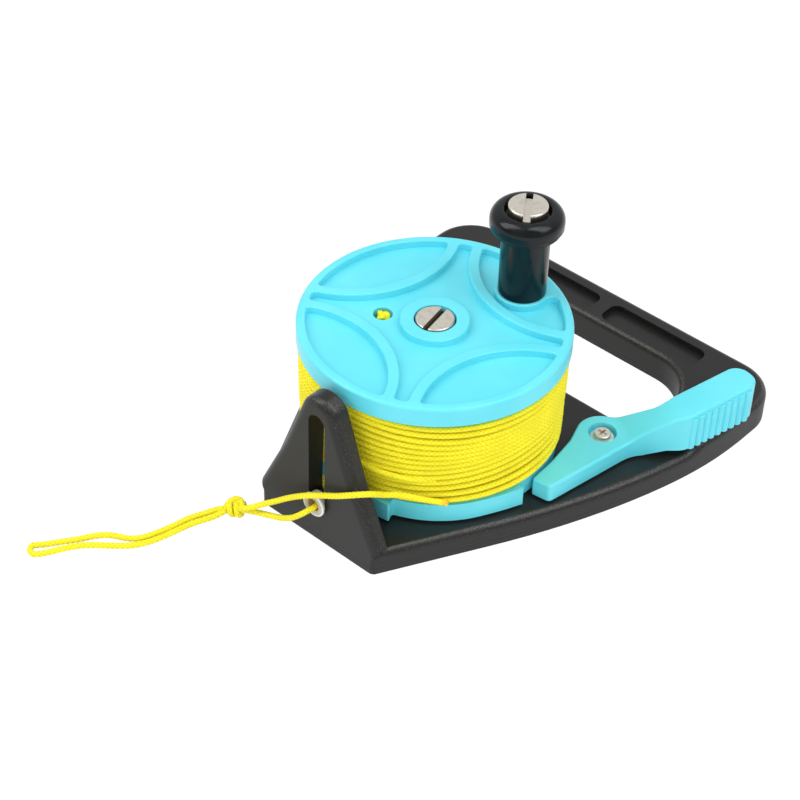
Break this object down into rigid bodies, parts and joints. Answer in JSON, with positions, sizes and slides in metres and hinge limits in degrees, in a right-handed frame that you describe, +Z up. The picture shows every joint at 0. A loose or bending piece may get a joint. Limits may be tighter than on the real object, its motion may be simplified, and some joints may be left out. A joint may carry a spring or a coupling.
{
  "type": "dive reel",
  "caption": "Line reel with a ratchet spool, turning knob, spring-loaded thumb lever and a line guide on a flat plate with a hand loop.",
  "frame": {"origin": "on the spool's axis, on the flat underside of the plate that the reel lies on", "axes": "+Z up along the spool's axis, +Y towards the handle bar, +X towards the thumb lever"},
  "size_m": [0.158, 0.2451, 0.1002],
  "materials": {
    "black_plastic": "black moulded plastic, glossy on the flat faces, fine grain on the rounded edges",
    "gloss_black": "glossy black plastic",
    "cyan_plastic": "semi-gloss cyan plastic",
    "white_plastic": "smooth white plastic",
    "bearing_plastic": "natural acetal",
    "nickel": "nickel plated, with a fine turned or brushed grain",
    "spring_steel": "plain steel",
    "brass": "plain brass",
    "line": "braided yellow line",
    "melted_line": "melted orange end"
  },
  "bodies": {
    "frame": {"frame": "black_plastic", "line_eyelet": "white_plastic", "axle_insert": "brass", "axle_bush": "bearing_plastic", "axle_washer": "nickel", "axle_screw": "nickel", "friction_washer": "bearing_plastic", "lever_washer": "nickel", "lever_screw": "nickel", "lever_spring": "spring_steel", "line_lead": "line", "line_leader": "line", "line_tag": "line", "line_loop": "line", "loop_knot": "line", "tag_tip": "melted_line"},
    "spool": {"spool_upper_flange": "cyan_plastic", "spool_lower_flange": "cyan_plastic", "spool_screws": "nickel", "knob_sleeve": "spring_steel", "knob_washer": "nickel", "knob_screw": "nickel", "knob_nut": "nickel", "line_core": "line", "line_winding": "line", "line_anchor_knot": "line"},
    "knob": {"knob_grip": "gloss_black"},
    "lever": {"thumb_lever": "cyan_plastic"}
  },
  "joints": [
    {"name": "spool_spin", "type": "hinge", "parent": "frame", "child": "spool", "pos_m": [0, 0, 0.03], "axis": [0, 0, 1], "continuous": true},
    {"name": "knob_spin", "type": "hinge", "parent": "spool", "child": "knob", "pos_m": [0.01103, 0.03353, 0.08], "axis": [0, 0, 1], "continuous": true},
    {"name": "lever_pivot", "type": "hinge", "parent": "frame", "child": "lever", "pos_m": [0.0492, 0.0371, 0.0135], "axis": [0, 0, 1], "range_deg": [0, 8], "stiffness_Nm_per_rad": 0.05, "springref_deg": -20.05}
  ]
}
